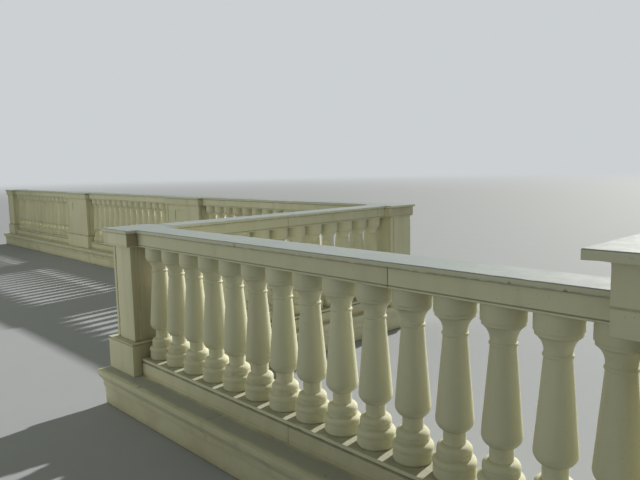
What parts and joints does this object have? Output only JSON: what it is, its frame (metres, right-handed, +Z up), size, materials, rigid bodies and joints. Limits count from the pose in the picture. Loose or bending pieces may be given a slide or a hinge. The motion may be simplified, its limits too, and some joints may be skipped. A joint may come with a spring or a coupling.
{
  "type": "stone balustrade",
  "caption": "Terrace balustrade of turned stone balusters between square posts and long pedestals, on a raised kerb, in three runs set at right angles.",
  "frame": {"origin": "centre of the corner post's foot on the floor", "axes": "+X along the front run to the pier, +Y along the side run to the far corner post, +Z up"},
  "size_m": [15.104, 3.314, 1.4],
  "materials": {
    "cream_stone": "cast stone, smooth",
    "coping_stone": "cast stone, washed pale by weather",
    "weathered_stone": "cast stone, grey with dirt",
    "kerb_render": "rendered masonry, stained"
  },
  "bodies": {
    "root": {"kerb_front": "kerb_render", "kerb_side": "kerb_render", "kerb_back": "kerb_render", "kerb_slab_front": "weathered_stone", "kerb_slab_side": "weathered_stone", "kerb_slab_back": "weathered_stone", "bottom_rail_front": "cream_stone", "bottom_rail_side": "cream_stone", "bottom_rail_back_1": "cream_stone", "bottom_rail_back_2": "cream_stone", "bottom_rail_back_3": "cream_stone", "balusters_front": "cream_stone", "balusters_side": "cream_stone", "balusters_back_1": "cream_stone", "balusters_back_2": "cream_stone", "balusters_back_3": "cream_stone", "top_rail_front": "cream_stone", "top_rail_side": "cream_stone", "top_rail_back_1": "cream_stone", "top_rail_back_2": "cream_stone", "top_rail_back_3": "cream_stone", "coping_front": "coping_stone", "coping_side": "coping_stone", "coping_back_1": "coping_stone", "coping_back_2": "coping_stone", "coping_back_3": "coping_stone", "corner_post_base": "cream_stone", "corner_post_shaft": "cream_stone", "corner_post_head": "cream_stone", "far_post_base": "cream_stone", "far_post_shaft": "cream_stone", "far_post_head": "cream_stone", "left_post_base": "cream_stone", "left_post_shaft": "cream_stone", "left_post_head": "cream_stone", "pedestal_bases": "cream_stone", "pedestal_shafts": "cream_stone", "pedestal_heads": "cream_stone", "pedestal_caps": "coping_stone", "post_caps": "coping_stone", "pier_base": "cream_stone", "pier_shaft": "cream_stone", "pier_head": "cream_stone", "pier_cap": "coping_stone"}
  },
  "joints": []
}
